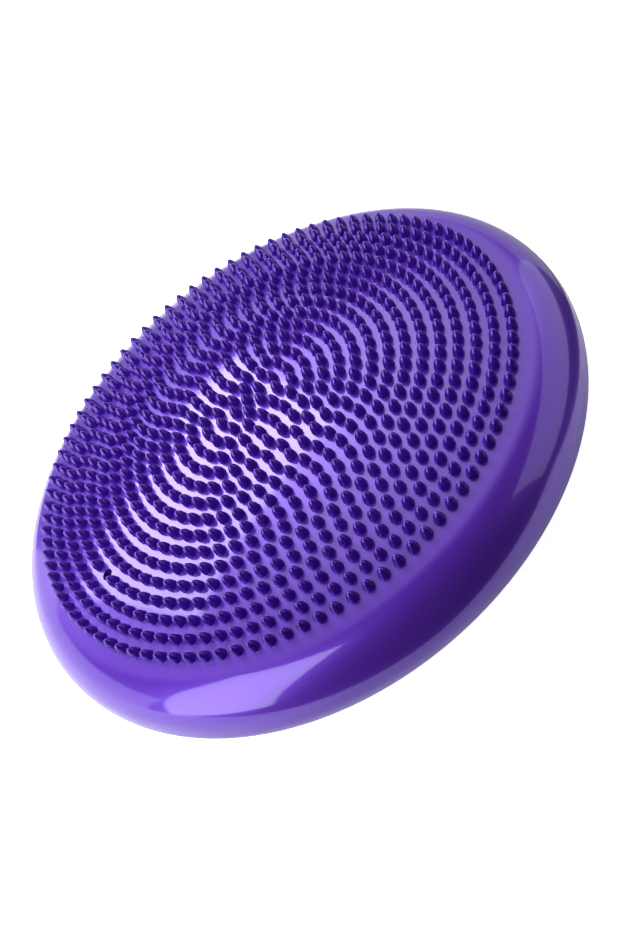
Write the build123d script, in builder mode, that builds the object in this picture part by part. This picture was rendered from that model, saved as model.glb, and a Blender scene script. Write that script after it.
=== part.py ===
"""Inflatable balance pad: a nubbed PVC skin on a rounded rim, inflated through a needle valve.

Millimetres. +Z is up and the origin is the centre of the flat medallion that the pad rests on.
In section each skin is two arcs that run into each other: the round rim tube, and a shallow
crown whose centre is on the pad's axis. Both crowned surfaces are therefore parts of spheres.
"""
import os
from math import asin, atan2, cos, degrees, pi, radians, sin, sqrt

from build123d import *

# Skins
PAD_RADIUS = 165.0          # outside of the rim
RIM_TUBE_RADIUS = 24.0      # the rim in section
WALL = 3.0                  # PVC wall
DOME_RISE = 22.0            # dome's centre above the top of the rim tube
BASE_CROWN = 5.0            # base's centre below the bottom of the rim tube
MEDALLION_RADIUS = 45.0     # flat land in the middle of the base
MEDALLION_THICKNESS = 2.0
MEDALLION_EDGE = 0.8        # rounding of its lower edge
SEAM_HALF_ANGLE = 11.0      # half width of the weld bead, seen from the middle of the rim tube
SEAM_THICKNESS = 2.4
SEAM_CREST = 4.0            # width of the bead's flat crest

# Nubs on the dome, in concentric rings
NUB_RING_PITCH = 8.68
NUB_COUNTS = (6, 12, 18, 24, 29, 36, 42, 48, 54, 60, 66, 73, 78, 86, 92, 97)
NUB_FIRST_ANGLE = 167.3     # the first nub of ring n stands at this angle plus n steps
NUB_ANGLE_STEP = 263.55
NUB_HEIGHT = 6.6
NUB_BASE_RADIUS = 2.9
NUB_TIP_RADIUS = 1.1
NUB_FLANK_BULGE = 0.3       # how far the flank stands out from a straight cone

# Low dots under the pad, in concentric rings
DOT_FIRST_RADIUS = 62.0
DOT_PITCH = 12.0            # from ring to ring, and about the same along each ring
DOT_RINGS = 7
DOT_RADIUS = 3.0
DOT_HEIGHT = 1.5

# Needle valve, in the place of one nub
VALVE_RING = 13
VALVE_NUB = 42              # counted from the ring's first nub
MOUTH_RADIUS = 3.2          # opening in the skin and in the valve body's roof
FLANGE_RADIUS = 12.0
FLANGE_THICKNESS = 2.0
BODY_RADIUS = 7.0
BODY_LENGTH = 15.0
BODY_ROOF = 2.5             # between the skin and the plug
PLUG_RADIUS = 4.0
PLUG_HEAD_RADIUS = 6.0      # air pressure holds the head against the end of the body
PLUG_HEAD_THICKNESS = 2.0
NEEDLE_BORE_RADIUS = 1.15
NEEDLE_BORE_DEPTH = 10.0

RIM_CENTRE_R = PAD_RADIUS - RIM_TUBE_RADIUS
BASE_Z = MEDALLION_THICKNESS
RIM_Z = BASE_Z + BASE_CROWN + RIM_TUBE_RADIUS


def crown_radius(height):
    """Radius of a crown that is tangent to the rim tube and crosses the axis at this height from its middle."""
    return (RIM_CENTRE_R**2 + height**2 - RIM_TUBE_RADIUS**2) / (2 * (height - RIM_TUBE_RADIUS))


DOME_RADIUS = crown_radius(RIM_TUBE_RADIUS + DOME_RISE)
DOME_CENTRE_Z = RIM_Z + RIM_TUBE_RADIUS + DOME_RISE - DOME_RADIUS
DOME_TANGENT = degrees(atan2(RIM_Z - DOME_CENTRE_Z, RIM_CENTRE_R))
BASE_RADIUS = crown_radius(RIM_TUBE_RADIUS + BASE_CROWN)
BASE_CENTRE_Z = BASE_Z + BASE_RADIUS
BASE_TANGENT = degrees(atan2(RIM_Z - BASE_CENTRE_Z, RIM_CENTRE_R))


def drop(sphere_radius, radius):
    """How far a sphere falls away from its pole at this distance from its axis."""
    return sphere_radius - sqrt(sphere_radius**2 - radius**2)


def draw_skin(centre_z, crown, tangent):
    """Draw the section of one skin, from the pad's axis to the joint at the rim's widest."""
    pole = 90.0 if tangent > 0 else -90.0
    for inset in (0, WALL):
        CenterArc((0, centre_z), crown - inset, tangent, pole - tangent)
        CenterArc((RIM_CENTRE_R, RIM_Z), RIM_TUBE_RADIUS - inset, 0, tangent)
    pole_z = centre_z + crown * sin(radians(pole))
    Line((0, pole_z), (0, pole_z - WALL * sin(radians(pole))))
    Line((PAD_RADIUS, RIM_Z), (PAD_RADIUS - WALL, RIM_Z))


def seat(centre_z, crown, upward, radius, angle):
    """Plane on a crowned surface at this distance and angle from the axis, facing straight out of it."""
    tilt = asin(radius / crown)
    turn = radians(angle)
    outward = Vector(sin(tilt) * cos(turn), sin(tilt) * sin(turn), upward * cos(tilt))
    return Plane(Vector(0, 0, centre_z) + outward * crown, x_dir=(-sin(turn), cos(turn), 0), z_dir=outward)


def dome_seat(radius, angle):
    return seat(DOME_CENTRE_Z, DOME_RADIUS, 1, radius, angle)


def base_seat(radius, angle):
    return seat(BASE_CENTRE_Z, BASE_RADIUS, -1, radius, angle)


def section_through(plane):
    """Plane to draw a section in: its Y runs along the given plane's normal."""
    return Plane(plane.origin, x_dir=plane.x_dir, z_dir=-plane.y_dir)


def finish(piece, name):
    """Label a finished piece and write it out under its own name."""
    piece.part.label = name
    export_step(piece.part, f"parts/{name}.step")


os.makedirs("parts", exist_ok=True)

valve_radius = VALVE_RING * NUB_RING_PITCH
valve_step = 360.0 / NUB_COUNTS[VALVE_RING - 1]
valve_angle = (NUB_FIRST_ANGLE + VALVE_RING * NUB_ANGLE_STEP + VALVE_NUB * valve_step) % 360
valve_seat = dome_seat(valve_radius, valve_angle)

# Upper skin: dome and upper half of the rim, with the mouth of the needle valve
with BuildPart() as upper_skin:
    with BuildSketch(Plane.XZ):
        with BuildLine():
            draw_skin(DOME_CENTRE_Z, DOME_RADIUS, DOME_TANGENT)
        make_face()
    revolve(axis=Axis.Z)
    with BuildSketch(valve_seat):
        Circle(MOUTH_RADIUS)
    extrude(amount=2 * WALL, both=True, mode=Mode.SUBTRACT)
finish(upper_skin, "upper_skin")

# Lower skin: crowned base and lower half of the rim
with BuildPart() as lower_skin:
    with BuildSketch(Plane.XZ):
        with BuildLine():
            draw_skin(BASE_CENTRE_Z, BASE_RADIUS, BASE_TANGENT)
        make_face()
    revolve(axis=Axis.Z)
finish(lower_skin, "lower_skin")

# Weld bead along the inside of the joint between the two skins
with BuildPart() as seam_weld:
    inner_radius = RIM_TUBE_RADIUS - WALL
    with BuildSketch(Plane.XZ):
        with BuildLine():
            wall_side = CenterArc((RIM_CENTRE_R, RIM_Z), inner_radius, -SEAM_HALF_ANGLE, 2 * SEAM_HALF_ANGLE)
            crest_r = RIM_CENTRE_R + inner_radius - SEAM_THICKNESS
            crest_low = (crest_r, RIM_Z - SEAM_CREST / 2)
            crest_high = (crest_r, RIM_Z + SEAM_CREST / 2)
            Polyline(wall_side @ 0, crest_low, crest_high, wall_side @ 1)
        make_face()
    revolve(axis=Axis.Z)
finish(seam_weld, "seam_weld")

# Medallion: the flat land in the middle of the base, left blank
with BuildPart() as base_medallion:
    edge_z = BASE_Z + drop(BASE_RADIUS, MEDALLION_RADIUS)
    with BuildSketch(Plane.XZ):
        with BuildLine():
            TangentArc((0, BASE_Z), (MEDALLION_RADIUS, edge_z), tangent=(1, 0))
            Polyline((MEDALLION_RADIUS, edge_z), (MEDALLION_RADIUS, 0), (0, 0), (0, BASE_Z))
        make_face()
    revolve(axis=Axis.Z)
    fillet(base_medallion.edges().group_by(Axis.Z)[0], MEDALLION_EDGE)
finish(base_medallion, "base_medallion")

# One nub: a pointed cone with full flanks and a rounded tip, its foot fitting the dome
with BuildPart() as nub:
    shoulder_z = NUB_HEIGHT - NUB_TIP_RADIUS
    foot_z = -drop(DOME_RADIUS, NUB_BASE_RADIUS)
    flank_r = (NUB_BASE_RADIUS + NUB_TIP_RADIUS) / 2 + NUB_FLANK_BULGE
    with BuildSketch(Plane.XZ):
        with BuildLine():
            TangentArc((0, 0), (NUB_BASE_RADIUS, foot_z), tangent=(1, 0))
            ThreePointArc((NUB_BASE_RADIUS, foot_z), (flank_r, shoulder_z / 2), (NUB_TIP_RADIUS, shoulder_z))
            TangentArc((0, NUB_HEIGHT), (NUB_TIP_RADIUS, shoulder_z), tangent=(1, 0))
            Line((0, NUB_HEIGHT), (0, 0))
        make_face()
    revolve(axis=Axis.Z)

with BuildPart() as centre_nub:
    with Locations(dome_seat(0, 0)):
        add(nub.part)
finish(centre_nub, "centre_nub")

# Rings of nubs; the valve stands in for one of them
for ring, count in enumerate(NUB_COUNTS, start=1):
    first = NUB_FIRST_ANGLE + ring * NUB_ANGLE_STEP
    places = [k for k in range(count) if (ring, k) != (VALVE_RING, VALVE_NUB)]
    with BuildPart() as nub_ring:
        with Locations(*[dome_seat(ring * NUB_RING_PITCH, first + 360.0 * k / count) for k in places]):
            add(nub.part)
    finish(nub_ring, f"nub_ring_{ring:02d}")

# One low dot, its foot fitting the crowned base
with BuildPart() as dot:
    foot_z = -drop(BASE_RADIUS, DOT_RADIUS)
    with BuildSketch(Plane.XZ):
        with BuildLine():
            TangentArc((0, 0), (DOT_RADIUS, foot_z), tangent=(1, 0))
            TangentArc((0, DOT_HEIGHT), (DOT_RADIUS, foot_z), tangent=(1, 0))
            Line((0, DOT_HEIGHT), (0, 0))
        make_face()
    revolve(axis=Axis.Z)

for ring in range(DOT_RINGS):
    ring_radius = DOT_FIRST_RADIUS + ring * DOT_PITCH
    count = round(2 * pi * ring_radius / DOT_PITCH)
    with BuildPart() as dot_ring:
        with Locations(*[base_seat(ring_radius, 360.0 * k / count) for k in range(count)]):
            add(dot.part)
    finish(dot_ring, f"base_dot_ring_{ring + 1}")

# Heights in the valve, along its own axis from the dome's outer surface
inner_dome_radius = DOME_RADIUS - WALL
flange_top = -WALL - drop(inner_dome_radius, FLANGE_RADIUS)
roof_top = -WALL - drop(inner_dome_radius, MOUTH_RADIUS)
plug_top = roof_top - BODY_ROOF
body_end = flange_top - BODY_LENGTH

# Valve body: a flanged sleeve welded under the dome, its flange following the inside of the skin
with BuildPart() as valve_body:
    flange_under = flange_top - FLANGE_THICKNESS
    flange_mid_r = (FLANGE_RADIUS + MOUTH_RADIUS) / 2
    flange_mid = (flange_mid_r, -WALL - drop(inner_dome_radius, flange_mid_r))
    with BuildSketch(section_through(valve_seat)):
        with BuildLine():
            ThreePointArc((FLANGE_RADIUS, flange_top), flange_mid, (MOUTH_RADIUS, roof_top))
            Polyline(
                (MOUTH_RADIUS, roof_top),
                (MOUTH_RADIUS, plug_top),
                (PLUG_RADIUS, plug_top),
                (PLUG_RADIUS, body_end),
                (BODY_RADIUS, body_end),
                (BODY_RADIUS, flange_under),
                (FLANGE_RADIUS, flange_under),
                (FLANGE_RADIUS, flange_top),
            )
        make_face()
    revolve(axis=Axis(valve_seat.origin, valve_seat.z_dir))
finish(valve_body, "valve_body")

# Self-sealing rubber plug, pushed into the valve body from inside, with a blind bore for the needle
with BuildPart() as valve_plug:
    with BuildSketch(valve_seat.offset(plug_top)):
        Circle(PLUG_RADIUS)
    extrude(amount=-(plug_top - body_end))
    with BuildSketch(valve_seat.offset(body_end)):
        Circle(PLUG_HEAD_RADIUS)
    extrude(amount=-PLUG_HEAD_THICKNESS)
    with BuildSketch(valve_seat.offset(plug_top)):
        Circle(NEEDLE_BORE_RADIUS)
    extrude(amount=-NEEDLE_BORE_DEPTH, mode=Mode.SUBTRACT)
finish(valve_plug, "valve_plug")
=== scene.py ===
"""Looks of the inflatable balance pad: pearl PVC skins, moulded nubs and dots, and a small studio."""
from math import asin, atan2, cos, pi, radians, sin, sqrt, tau

import bpy
from mathutils import Matrix, Vector


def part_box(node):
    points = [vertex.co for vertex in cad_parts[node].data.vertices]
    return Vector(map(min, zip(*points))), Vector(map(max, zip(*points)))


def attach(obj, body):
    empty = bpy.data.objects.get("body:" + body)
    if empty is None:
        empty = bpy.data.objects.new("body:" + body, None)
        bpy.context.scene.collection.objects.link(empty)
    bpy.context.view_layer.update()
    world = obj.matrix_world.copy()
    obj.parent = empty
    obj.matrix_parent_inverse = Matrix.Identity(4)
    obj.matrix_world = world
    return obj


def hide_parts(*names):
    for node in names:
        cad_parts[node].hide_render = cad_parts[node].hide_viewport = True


bl_info = {
    "name": "Balance Pad",
    "version": (1, 0, 0),
    "blender": (4, 5, 0),
    "location": "View3D > Sidebar > Balance Pad",
    "description": "Builds an inflatable balance pad with moulded nubs around its design frame",
    "category": "Object",
}

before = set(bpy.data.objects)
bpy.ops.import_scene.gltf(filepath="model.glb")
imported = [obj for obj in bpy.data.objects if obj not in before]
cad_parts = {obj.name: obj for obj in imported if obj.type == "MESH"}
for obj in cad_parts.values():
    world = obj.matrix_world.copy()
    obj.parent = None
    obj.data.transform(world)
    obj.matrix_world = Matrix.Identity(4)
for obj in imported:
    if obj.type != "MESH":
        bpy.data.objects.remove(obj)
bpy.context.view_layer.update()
BODY = "root"
MM = 0.001

UPPER_LOW, UPPER_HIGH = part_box("upper_skin")
LOWER_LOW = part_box("lower_skin")[0]
MEDALLION_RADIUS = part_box("base_medallion")[1].x
NUB_RING_NODES = sorted(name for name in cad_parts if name.startswith("nub_ring_"))
DOT_RING_NODES = sorted(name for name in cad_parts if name.startswith("base_dot_ring_"))

# Nubs in each ring from the centre outwards
NUB_COUNTS = (6, 12, 18, 24, 29, 36, 42, 48, 54, 60, 66, 73, 78, 86, 92, 97)


# ---------------------------------------------------------------- sizes and colours

class PadSizes(bpy.types.PropertyGroup):
    """Sizes of the moulded pad that a user would change"""

    tube_radius: bpy.props.FloatProperty(
        name="Rim radius", description="Radius of the rounded rim in section", default=0.024, unit="LENGTH"
    )
    wall: bpy.props.FloatProperty(
        name="Wall", description="Thickness of the PVC wall", default=0.003, unit="LENGTH"
    )
    segments: bpy.props.IntProperty(
        name="Segments", description="Steps round each skin", default=192, min=48
    )
    nub_pitch: bpy.props.FloatProperty(
        name="Nub ring pitch", description="Distance from one ring of nubs to the next", default=0.00868,
        unit="LENGTH",
    )
    nub_first_angle: bpy.props.FloatProperty(
        name="First nub angle", description="Angle that the rings' start angles are counted from",
        default=radians(167.3), subtype="ANGLE",
    )
    nub_angle_step: bpy.props.FloatProperty(
        name="Nub angle step", description="Turn of the start angle from one ring to the next",
        default=radians(263.55), subtype="ANGLE",
    )
    nub_height: bpy.props.FloatProperty(
        name="Nub height", description="Height of a nub above the skin", default=0.0066, unit="LENGTH"
    )
    nub_sides: bpy.props.IntProperty(
        name="Nub sides", description="Steps round each nub", default=12, min=6
    )
    dot_pitch: bpy.props.FloatProperty(
        name="Dot pitch", description="Distance between the rings of low dots", default=0.012, unit="LENGTH"
    )
    dot_first_radius: bpy.props.FloatProperty(
        name="First dot ring", description="Radius of the innermost ring of dots", default=0.062,
        unit="LENGTH",
    )
    valve_ring: bpy.props.IntProperty(
        name="Valve ring", description="Ring in which the valve takes the place of a nub", default=13
    )
    valve_nub: bpy.props.IntProperty(
        name="Valve place", description="Place of the valve in its ring, from the first nub", default=42
    )
    mouth_radius: bpy.props.FloatProperty(
        name="Valve mouth", description="Radius of the opening for the needle", default=0.0032,
        unit="LENGTH",
    )


class PadColours(bpy.types.PropertyGroup):
    """Colours of the pad's materials"""

    skin: bpy.props.FloatVectorProperty(
        name="Skin", description="Pearl PVC of the two skins", subtype="COLOR", size=3,
        default=(0.108, 0.021, 0.49), min=0, max=1,
    )
    pearl: bpy.props.FloatVectorProperty(
        name="Pearl", description="Lighter pigment that swirls through the PVC", subtype="COLOR", size=3,
        default=(0.148, 0.038, 0.60), min=0, max=1,
    )
    # The nub colour is darker than the skin's as painted shade: it stands in for the shade on the nubs'
    # sides that face the camera.
    nub: bpy.props.FloatVectorProperty(
        name="Nubs", description="The denser PVC of the nubs", subtype="COLOR", size=3,
        default=(0.064, 0.007, 0.32), min=0, max=1,
    )
    rubber: bpy.props.FloatVectorProperty(
        name="Valve rubber", description="Rubber of the valve plug", subtype="COLOR", size=3,
        default=(0.012, 0.011, 0.013), min=0, max=1,
    )


def sizes():
    return bpy.context.scene.pad_sizes


def colours():
    return bpy.context.scene.pad_colours


# ---------------------------------------------------------------- the pad's shape in section

class Crown:
    """A shallow spherical surface across the pad that runs tangentially into the rim tube."""

    def __init__(self, pole_z, upward):
        tube = sizes().tube_radius
        self.upward = upward
        self.rim_centre_r = UPPER_HIGH.x - tube
        height = upward * (pole_z - UPPER_LOW.z)
        self.radius = (self.rim_centre_r**2 + height**2 - tube**2) / (2 * (height - tube))
        self.centre_z = pole_z - upward * self.radius
        self.tangent = atan2(UPPER_LOW.z - self.centre_z, self.rim_centre_r)

    def point(self, angle):
        return Vector((self.radius * cos(angle), 0, self.centre_z + self.radius * sin(angle)))

    def seat(self, distance, angle):
        """Matrix that stands a piece on the surface at this distance and angle from the pad's axis."""
        tilt = asin(distance / self.radius)
        outward = Vector((sin(tilt) * cos(angle), sin(tilt) * sin(angle), self.upward * cos(tilt)))
        around = Vector((-sin(angle), cos(angle), 0))
        turn = Matrix((around, outward.cross(around), outward)).transposed().to_4x4()
        return Matrix.Translation(Vector((0, 0, self.centre_z)) + outward * self.radius) @ turn


def dome():
    return Crown(UPPER_HIGH.z, 1)


def base():
    return Crown(LOWER_LOW.z, -1)


def skin_outline(crown, crown_steps, rim_steps):
    """Half section of a skin's outer surface, from the pad's axis to the joint at the rim's widest."""
    tube = sizes().tube_radius
    pole = crown.upward * pi / 2
    outline = []
    for step in range(crown_steps):
        outline.append(crown.point(pole + (crown.tangent - pole) * step / crown_steps))
    outline[0].x = 0
    for step in range(rim_steps + 1):
        angle = crown.tangent * (1 - step / rim_steps)
        radius = crown.rim_centre_r + tube * cos(angle)
        height = UPPER_LOW.z + tube * sin(angle)
        outline.append(Vector((radius, 0, height)))
    return outline


def valve_angle():
    """Angle of the valve round the pad's axis."""
    size = sizes()
    step = tau / NUB_COUNTS[size.valve_ring - 1]
    return size.nub_first_angle + size.valve_ring * size.nub_angle_step + size.valve_nub * step


# ---------------------------------------------------------------- modelling

def select_only(piece):
    """Deselect everything but one piece, and make it the active one."""
    bpy.ops.object.select_all(action="DESELECT")
    piece.select_set(True)
    bpy.context.view_layer.objects.active = piece


def lathe(name, outline, steps):
    """Turn an outline about the Z axis: a point is extruded along it, and the line is spun round."""
    bpy.ops.object.select_all(action="DESELECT")
    bpy.ops.mesh.primitive_plane_add(size=MM, location=(0, 0, 0))
    piece = bpy.context.object
    piece.name = piece.data.name = name
    bpy.ops.object.mode_set(mode="EDIT")
    bpy.ops.mesh.merge(type="CENTER")
    bpy.ops.transform.translate(value=outline[0])
    for here, there in zip(outline, outline[1:]):
        bpy.ops.mesh.extrude_region_move(TRANSFORM_OT_translate={"value": there - here})
    bpy.ops.mesh.select_all(action="SELECT")
    bpy.ops.mesh.spin(steps=steps, angle=tau, center=(0, 0, 0), axis=(0, 0, 1))
    bpy.ops.mesh.select_all(action="SELECT")
    bpy.ops.mesh.remove_doubles(threshold=0.002 * MM)
    bpy.ops.mesh.normals_make_consistent(inside=False)
    bpy.ops.object.mode_set(mode="OBJECT")
    return piece


def apply_modifier(piece, kind, **settings):
    """Give a piece a modifier with these settings and apply it."""
    select_only(piece)
    modifier = piece.modifiers.new(kind.title(), kind)
    for setting, value in settings.items():
        setattr(modifier, setting, value)
    bpy.ops.object.modifier_apply(modifier=modifier.name)


def smooth(piece, angle=35):
    """Shade a piece smooth, but for edges sharper than this angle in degrees."""
    select_only(piece)
    bpy.ops.object.shade_smooth_by_angle(angle=radians(angle))


def finish(piece, material, slot, *nodes):
    """Give a piece its material and let it stand for its CAD nodes."""
    piece.data.materials.clear()
    piece.data.materials.append(material)
    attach(piece, BODY)
    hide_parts(*nodes)


def array_round(master, name, seat, count, left_out=0):
    """Copy a master piece onto a seat and repeat it clockwise round the pad, but for the last places."""
    ring = master.copy()
    ring.data = master.data.copy()
    ring.name = ring.data.name = name
    bpy.context.collection.objects.link(ring)
    ring.data.transform(seat)
    copies = count - 1 - left_out
    if copies:
        select_only(ring)
        bpy.ops.object.mode_set(mode="EDIT")
        bpy.ops.mesh.select_all(action="SELECT")
        bpy.ops.mesh.spin(
            steps=copies, angle=tau * copies / count, dupli=True, center=(0, 0, 0), axis=(0, 0, 1)
        )
        bpy.ops.object.mode_set(mode="OBJECT")
    return ring


# ---------------------------------------------------------------- materials

class Value:
    """A number that changes over a surface; arithmetic on it adds Math nodes."""

    def __init__(self, paint, socket):
        self.paint = paint
        self.socket = socket

    def _maths(self, operation, first, second):
        node = self.paint.node("ShaderNodeMath", {"operation": operation}, {0: first, 1: second})
        return Value(self.paint, node.outputs[0])

    def __add__(self, other):
        return self._maths("ADD", self, other)

    def __radd__(self, other):
        return self._maths("ADD", other, self)

    def __mul__(self, other):
        return self._maths("MULTIPLY", self, other)

    def __rmul__(self, other):
        return self._maths("MULTIPLY", other, self)

    def __pow__(self, other):
        return self._maths("POWER", self, other)


class Paint:
    """A material under construction."""

    def __init__(self, name):
        self.material = bpy.data.materials.new(name)
        self.material.use_nodes = True
        self.tree = self.material.node_tree
        self.shader = self.tree.nodes["Principled BSDF"]
        self.place = self.node("ShaderNodeTexCoord").outputs["Object"]

    def set(self, node, sockets):
        for socket, value in sockets.items():
            value = value.socket if isinstance(value, Value) else value
            if isinstance(value, bpy.types.NodeSocket):
                self.tree.links.new(value, node.inputs[socket])
            else:
                node.inputs[socket].default_value = value

    def node(self, kind, settings=None, sockets=None):
        node = self.tree.nodes.new(kind)
        for setting, value in (settings or {}).items():
            setattr(node, setting, value)
        self.set(node, sockets or {})
        return node

    def noise(self, scale, detail=2.0, roughness=0.5):
        node = self.node(
            "ShaderNodeTexNoise", {},
            {"Vector": self.place, "Scale": scale, "Detail": detail, "Roughness": roughness},
        )
        return Value(self, node.outputs["Fac"])

    def mix(self, factor, first, second):
        node = self.node("ShaderNodeMix", {"data_type": "RGBA"}, {0: factor, 6: first, 7: second})
        return node.outputs[2]

    def bump(self, height, distance, strength=1.0):
        node = self.node(
            "ShaderNodeBump", {}, {"Height": height, "Distance": distance, "Strength": strength}
        )
        self.set(self.shader, {"Normal": node.outputs["Normal"]})


def pearl_pvc(name, dark, light, metallic=0.36, coat=0.85):
    """Soft PVC with pearl pigment: a satin coloured layer under a thin glossy one, with a faint grain."""
    paint = Paint(name)
    swirl = paint.noise(14.0, detail=3.0)
    grain = paint.noise(1700.0, detail=1.0)
    orange_peel = paint.noise(260.0, detail=2.0)
    paint.set(paint.shader, {
        "Base Color": paint.mix(swirl * 0.7 + grain * 0.3, (*dark, 1), (*light, 1)),
        "Roughness": 0.29 + 0.12 * grain,
        "Metallic": metallic,
        "Specular IOR Level": 0.3,
        "Coat Weight": coat,
        "Coat Roughness": 0.08,
        "Coat IOR": 1.6,
        "IOR": 1.5,
    })
    paint.bump(orange_peel * 0.7 + grain * 0.3, 0.012 * MM, 0.6)
    return paint.material


def matte_rubber(name, colour):
    """Rubber with a coarse grain and no gloss."""
    paint = Paint(name)
    grain = paint.noise(900.0, detail=3.0)
    paint.set(paint.shader, {
        "Base Color": paint.mix(grain, (*colour, 1), (*scaled(colour, 1.8), 1)),
        "Roughness": 0.55 + 0.2 * grain,
        "Specular IOR Level": 0.4,
    })
    paint.bump(grain, 0.03 * MM, 0.5)
    return paint.material


def scaled(colour, share):
    return tuple(channel * share for channel in colour)


def skin_pvc(name):
    return pearl_pvc(name, colours().skin, colours().pearl)


def nub_pvc_with_painted_shade(name):
    # The nubs' darker colour is painted shade on their camera-facing sides; the lighter mix is a random
    # tone.
    nub = colours().nub
    return pearl_pvc(name, nub, scaled(nub, 1.4), metallic=0.45, coat=0.6)


def valve_pvc(name):
    nub = colours().nub
    return pearl_pvc(name, scaled(nub, 0.5), nub)


def valve_rubber(name):
    return matte_rubber(name, colours().rubber)


def material(recipe):
    """The material that a recipe makes, made the first time that it is asked for."""
    name = recipe.__name__
    return bpy.data.materials.get(name) or recipe(name)


# ---------------------------------------------------------------- operators

class PAD_OT_upper_skin(bpy.types.Operator):
    """Turn the domed upper skin and cut the mouth of the valve"""

    bl_idname = "pad.upper_skin"
    bl_label = "Upper skin"

    def execute(self, context):
        size = sizes()
        crown = dome()
        skin = lathe("dome_skin", skin_outline(crown, crown_steps=40, rim_steps=26), size.segments)
        apply_modifier(skin, "SOLIDIFY", thickness=size.wall, offset=-1)
        bpy.ops.object.select_all(action="DESELECT")
        bpy.ops.mesh.primitive_cylinder_add(vertices=40, radius=size.mouth_radius, depth=6 * size.wall)
        cutter = context.object
        cutter.data.transform(crown.seat(size.valve_ring * size.nub_pitch, valve_angle()))
        apply_modifier(skin, "BOOLEAN", object=cutter, operation="DIFFERENCE", solver="EXACT")
        bpy.data.objects.remove(cutter)
        smooth(skin)
        finish(skin, material(skin_pvc), "pvc_upper", "upper_skin")
        return {"FINISHED"}


class PAD_OT_lower_skin(bpy.types.Operator):
    """Turn the crowned lower skin"""

    bl_idname = "pad.lower_skin"
    bl_label = "Lower skin"

    def execute(self, context):
        size = sizes()
        skin = lathe("base_skin", skin_outline(base(), crown_steps=24, rim_steps=30), size.segments)
        apply_modifier(skin, "SOLIDIFY", thickness=size.wall, offset=-1)
        smooth(skin)
        finish(skin, material(skin_pvc), "pvc_lower", "lower_skin")
        return {"FINISHED"}


class PAD_OT_nubs(bpy.types.Operator):
    """Model one nub with its moulded foot, and repeat it in rings over the dome"""

    bl_idname = "pad.nubs"
    bl_label = "Nubs"

    def execute(self, context):
        size = sizes()
        crown = dome()
        # Radius and height in millimetres, from the flared foot to the rounded tip
        height = size.nub_height / MM
        outline = (
            (3.2, -0.04), (3.0, 0.25), (2.95, 1.5), (2.66, 0.44 * height), (2.06, 0.67 * height),
            (1.27, 0.86 * height), (0.6, 0.965 * height), (0, height),
        )
        nub = lathe("nub_master", [Vector((r, 0, z)) * MM for r, z in outline], size.nub_sides)
        smooth(nub, angle=60)
        centre = array_round(nub, "nub_centre", crown.seat(0, 0), 1)
        finish(centre, material(nub_pvc_with_painted_shade), "pvc_nubs", "centre_nub")
        for ring, (count, node) in enumerate(zip(NUB_COUNTS, NUB_RING_NODES), start=1):
            first = size.nub_first_angle + ring * size.nub_angle_step
            left_out = 0
            if ring == size.valve_ring:
                first = valve_angle() - tau / count
                left_out = 1
            seat = crown.seat(ring * size.nub_pitch, first)
            nubs = array_round(nub, f"nubs_{ring:02d}", seat, count, left_out)
            finish(nubs, material(nub_pvc_with_painted_shade), "pvc_nubs", node)
        bpy.data.objects.remove(nub)
        return {"FINISHED"}


class PAD_OT_base(bpy.types.Operator):
    """Model the medallion and the rings of low dots under the pad"""

    bl_idname = "pad.base"
    bl_label = "Base"

    def execute(self, context):
        size = sizes()
        crown = base()
        # Radius and height in millimetres, from the flared foot to the top
        dot_outline = ((3.5, -0.03), (2.9, 0.3), (2.0, 1.05), (1.0, 1.42), (0, 1.5))
        dot = lathe("dot_master", [Vector((r, 0, z)) * MM for r, z in dot_outline], steps=10)
        smooth(dot, angle=60)
        for ring, node in enumerate(DOT_RING_NODES):
            distance = size.dot_first_radius + ring * size.dot_pitch
            count = round(tau * distance / size.dot_pitch)
            dots = array_round(dot, f"dots_{ring + 1}", crown.seat(distance, 0), count)
            finish(dots, material(skin_pvc), "pvc_dots", node)
        bpy.data.objects.remove(dot)
        self.medallion(crown)
        return {"FINISHED"}

    def medallion(self, crown):
        """The flat land that the pad rests on, with a rounded edge and a shallow groove inside it."""
        edge = MEDALLION_RADIUS
        edge_z = LOWER_LOW.z + crown.radius - sqrt(crown.radius**2 - edge**2)
        rounding = 0.9 * MM
        groove = edge - 6 * MM
        groove_width = 2.5 * MM
        groove_depth = 0.5 * MM
        outline = (
            (0, LOWER_LOW.z), (edge, edge_z),
            (edge, rounding), (edge - 0.25 * MM, 0.3 * MM), (edge - rounding, 0),
            (groove, 0), (groove - groove_depth, groove_depth),
            (groove - groove_width + groove_depth, groove_depth), (groove - groove_width, 0), (0, 0),
        )
        medallion = lathe("medallion", [Vector((r, 0, z)) for r, z in outline], steps=96)
        apply_modifier(medallion, "BEVEL", width=0.2 * MM, segments=2, limit_method="ANGLE")
        smooth(medallion)
        finish(medallion, material(skin_pvc), "pvc_lower", "base_medallion")


class PAD_OT_valve(bpy.types.Operator):
    """Finish the weld bead, the valve body and the plug, which keep their CAD shapes"""

    bl_idname = "pad.valve"
    bl_label = "Valve and weld"

    def execute(self, context):
        finishes = {"seam_weld": skin_pvc, "valve_body": valve_pvc, "valve_plug": valve_rubber}
        for node, recipe in finishes.items():
            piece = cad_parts[node]
            piece.data.materials.clear()
            piece.data.materials.append(material(recipe))
        return {"FINISHED"}


# ---------------------------------------------------------------- stage

# The point that every light faces
PAD_MIDDLE = Vector((0, 0, 0.05))

# Name, azimuth and elevation in degrees, distance, width, height and power in watts
SOFTBOXES = (
    ("softbox_left", -162, 30, 1.6, 1.15, 2.0, 26),
    ("softbox_back", 106, 42, 1.8, 1.1, 0.9, 17),
    ("softbox_right", 0, 18, 1.8, 2.9, 1.5, 12),
    ("backdrop", 146, 8, 1.6, 1.7, 0.9, 6),
    ("backdrop_right", 58, -8, 1.6, 1.3, 1.2, 2.3),
)


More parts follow.
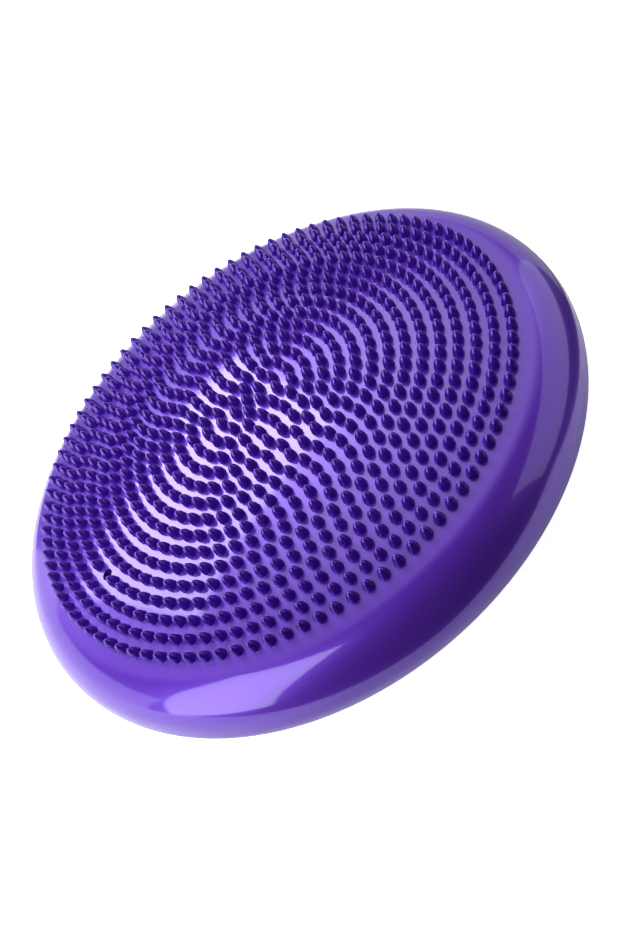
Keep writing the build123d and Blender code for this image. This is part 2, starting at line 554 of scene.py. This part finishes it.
def direction(azimuth, elevation):
    """Unit vector towards a place given by its azimuth from +X and its elevation, in degrees."""
    a, e = radians(azimuth), radians(elevation)
    return Vector((cos(e) * cos(a), cos(e) * sin(a), sin(e)))


class PAD_OT_stage(bpy.types.Operator):
    """Set the floor, the walls, the lights and the camera"""

    bl_idname = "pad.stage"
    bl_label = "Stage"

    def execute(self, context):
        self.surroundings()
        self.lights()
        self.camera(context)
        return {"FINISHED"}

    def whiten(self, piece, name, glow):
        """Name a piece of the stage, make it a glowing matte white, and let it cast no shadow."""
        piece.name = name
        paint = Paint(name)
        mottle = paint.noise(3.0)
        paint.set(paint.shader, {
            "Base Color": paint.mix(mottle, (0.90, 0.90, 0.90, 1), (0.93, 0.93, 0.93, 1)),
            "Roughness": 0.9,
            "Emission Color": (1, 1, 1, 1),
            "Emission Strength": glow,
        })
        piece.data.materials.append(paint.material)
        piece.visible_shadow = False

    def surroundings(self):
        """Floor and walls that only the camera sees, and a smaller table top that only the pad sees."""
        bpy.ops.object.select_all(action="DESELECT")
        bpy.ops.mesh.primitive_plane_add(size=8, location=(0, 0, -0.5 * MM))
        floor = bpy.context.object
        self.whiten(floor, "floor", 0.9)
        bpy.ops.mesh.primitive_uv_sphere_add(segments=32, ring_count=16, radius=20, location=(0, 0, 0))
        walls = bpy.context.object
        self.whiten(walls, "walls", 0.95)
        for piece in (floor, walls):
            piece.visible_diffuse = False
            piece.visible_glossy = False
        table_size = 3
        near_right = Vector((0.195, -0.20, -MM))
        middle = near_right + Vector((-table_size / 2, table_size / 2, 0))
        bpy.ops.mesh.primitive_plane_add(size=table_size, location=middle)
        table = bpy.context.object
        self.whiten(table, "table_top", 0.10)
        table.visible_camera = False

    def diffuser(self, azimuth, elevation, distance, radius, peak):
        """Round cloth lit from behind, brightest in its middle and dark at its edge."""
        towards = direction(azimuth, elevation)
        bpy.ops.object.select_all(action="DESELECT")
        bpy.ops.mesh.primitive_circle_add(
            vertices=48, radius=radius, fill_type="NGON", location=PAD_MIDDLE + towards * distance,
            rotation=towards.to_track_quat("Z", "Y").to_euler(),
        )
        cloth = bpy.context.object
        cloth.name = "diffuser"
        paint = Paint("diffuser")
        place = paint.node("ShaderNodeMapping", {}, {"Vector": paint.place, "Scale": (1 / radius,) * 3})
        fade = paint.node("ShaderNodeTexGradient", {"gradient_type": "SPHERICAL"}, {0: place.outputs[0]})
        glow = Value(paint, fade.outputs["Fac"]) ** 3
        paint.set(paint.shader, {
            "Base Color": (0, 0, 0, 1),
            "Emission Color": paint.mix(glow, (0, 0, 0, 1), (1, 1, 1, 1)),
            "Emission Strength": peak,
        })
        cloth.data.materials.append(paint.material)
        cloth.visible_camera = False

    def softbox(self, name, azimuth, elevation, distance, width, height, power):
        """Area light that faces the pad from a direction given in degrees."""
        towards = direction(azimuth, elevation)
        light = bpy.data.lights.new(name, "AREA")
        light.shape = "RECTANGLE"
        light.size = width
        light.size_y = height
        light.energy = power
        lamp = bpy.data.objects.new(name, light)
        bpy.context.collection.objects.link(lamp)
        lamp.location = PAD_MIDDLE + towards * distance
        lamp.rotation_euler = towards.to_track_quat("Z", "Y").to_euler()

    def lights(self):
        """Softboxes, a wide diffuser overhead and a faint glow from all round."""
        for softbox in SOFTBOXES:
            self.softbox(*softbox)
        self.diffuser(azimuth=82, elevation=50, distance=2.8, radius=4.0, peak=3.9)
        world = bpy.data.worlds.new("studio")
        world.use_nodes = True
        background = world.node_tree.nodes["Background"]
        background.inputs["Color"].default_value = (0.9, 0.9, 0.93, 1)
        background.inputs["Strength"].default_value = 0.03
        bpy.context.scene.world = world
        bpy.context.scene.view_settings.view_transform = "Standard"

    def camera(self, context):
        """Look down on the pad from the front, with the camera rolled so that the pad leans."""
        elevation = radians(40.12)
        roll = radians(-40.91)
        dome_middle = Vector((0.0027, 0, 0.0599))
        distance = 0.8947
        drop = 0.0318
        camera = bpy.data.objects.new("camera", bpy.data.cameras.new("camera"))
        context.collection.objects.link(camera)
        turn = Matrix.Rotation(pi / 2 - elevation, 4, "X")
        place = dome_middle + turn @ Vector((0, -drop, distance))
        camera.matrix_world = Matrix.Translation(place) @ turn @ Matrix.Rotation(roll, 4, "Z")
        camera.data.sensor_width = 36
        camera.data.lens = 66.9
        context.scene.camera = camera


# ---------------------------------------------------------------- panel and registration

class PAD_PT_panel(bpy.types.Panel):
    """Lists the pad's pieces and sizes"""

    bl_idname = "PAD_PT_panel"
    bl_label = "Balance Pad"
    bl_space_type = "VIEW_3D"
    bl_region_type = "UI"
    bl_category = "Balance Pad"

    def draw(self, context):
        for operator in OPERATORS:
            self.layout.operator(operator.bl_idname)
        for group in (context.scene.pad_sizes, context.scene.pad_colours):
            for name in group.__annotations__:
                self.layout.prop(group, name)


OPERATORS = (
    PAD_OT_upper_skin, PAD_OT_lower_skin, PAD_OT_nubs, PAD_OT_base, PAD_OT_valve, PAD_OT_stage,
)
CLASSES = (PadSizes, PadColours, *OPERATORS, PAD_PT_panel)


def register():
    for each in CLASSES:
        bpy.utils.register_class(each)
    bpy.types.Scene.pad_sizes = bpy.props.PointerProperty(type=PadSizes)
    bpy.types.Scene.pad_colours = bpy.props.PointerProperty(type=PadColours)


def unregister():
    del bpy.types.Scene.pad_colours
    del bpy.types.Scene.pad_sizes
    for each in reversed(CLASSES):
        bpy.utils.unregister_class(each)


def main():
    register()
    bpy.ops.pad.upper_skin()
    bpy.ops.pad.lower_skin()
    bpy.ops.pad.nubs()
    bpy.ops.pad.base()
    bpy.ops.pad.valve()
    bpy.ops.pad.stage()
    bpy.context.view_layer.update()


if __name__ == "__main__":
    main()
